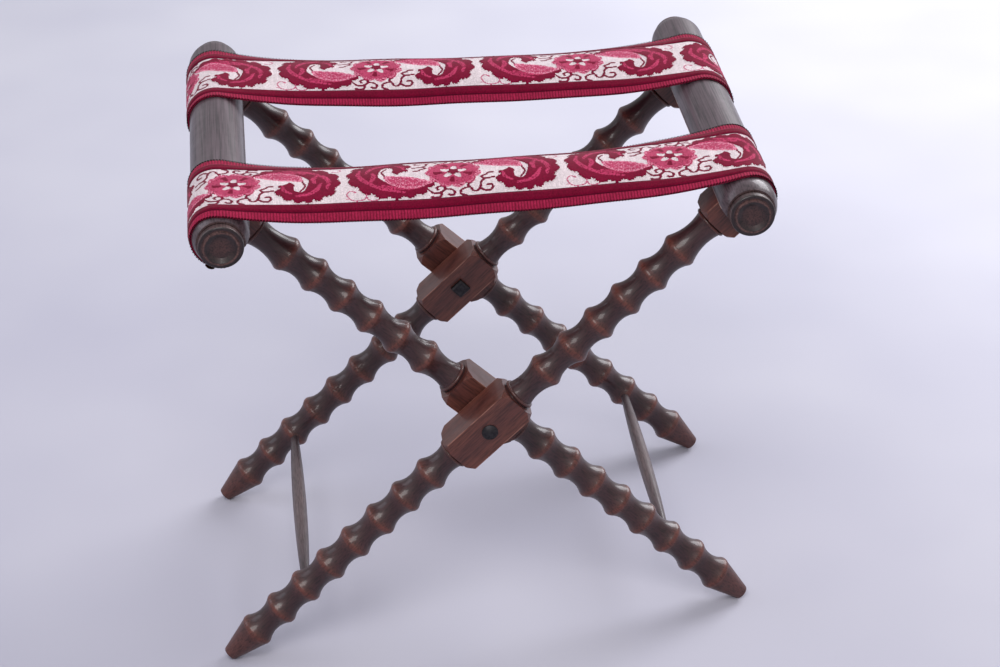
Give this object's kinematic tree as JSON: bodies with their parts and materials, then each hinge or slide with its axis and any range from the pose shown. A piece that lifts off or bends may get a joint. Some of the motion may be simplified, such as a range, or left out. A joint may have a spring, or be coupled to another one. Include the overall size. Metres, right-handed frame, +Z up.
{
  "type": "folding luggage stand",
  "caption": "Folding luggage stand: two crossed frames of ring-turned legs on pivot bolts, round top rails and two patterned velvet webbing straps.",
  "frame": {"origin": "on the floor, under the middle of the stand's box", "axes": "+X across from rail to rail, towards the right rail; +Y along the rails, from front to back; +Z up"},
  "size_m": [0.5094, 0.418, 0.4772],
  "materials": {
    "turned_legs": "dark walnut stain, satin to gloss wax polish, redder on the crests",
    "rails": "dark walnut stain, worn satin, fine lengthwise grain",
    "stretchers": "dark stain, worn satin",
    "pivot_iron": "blackened iron, rubbed on the heads",
    "velvet_webbing": "cut velvet webbing, crimson scrolls and flowers on an off-white ground",
    "tacks": "aged brass"
  },
  "bodies": {
    "right_frame": {"right_frame_front_leg": "turned_legs", "right_frame_back_leg": "turned_legs", "right_rail": "rails", "left_stretcher": "stretchers", "front_pivot_bolt": "pivot_iron", "front_pivot_spacer": "pivot_iron", "front_pivot_washer": "pivot_iron", "front_pivot_nut": "pivot_iron", "back_pivot_bolt": "pivot_iron", "back_pivot_spacer": "pivot_iron", "back_pivot_washer": "pivot_iron", "back_pivot_nut": "pivot_iron", "front_strap": "velvet_webbing", "back_strap": "velvet_webbing", "front_strap_right_tacks": "tacks", "back_strap_right_tacks": "tacks"},
    "left_frame": {"left_frame_front_leg": "turned_legs", "left_frame_back_leg": "turned_legs", "left_rail": "rails", "right_stretcher": "stretchers", "front_strap_left_tacks": "tacks", "back_strap_left_tacks": "tacks"}
  },
  "joints": [
    {"name": "fold", "type": "hinge", "parent": "right_frame", "child": "left_frame", "pos_m": [0, 0, 0.23554], "axis": [0, 1, 0], "range_deg": [0, 82], "deforming": ["front_strap", "back_strap"]}
  ]
}
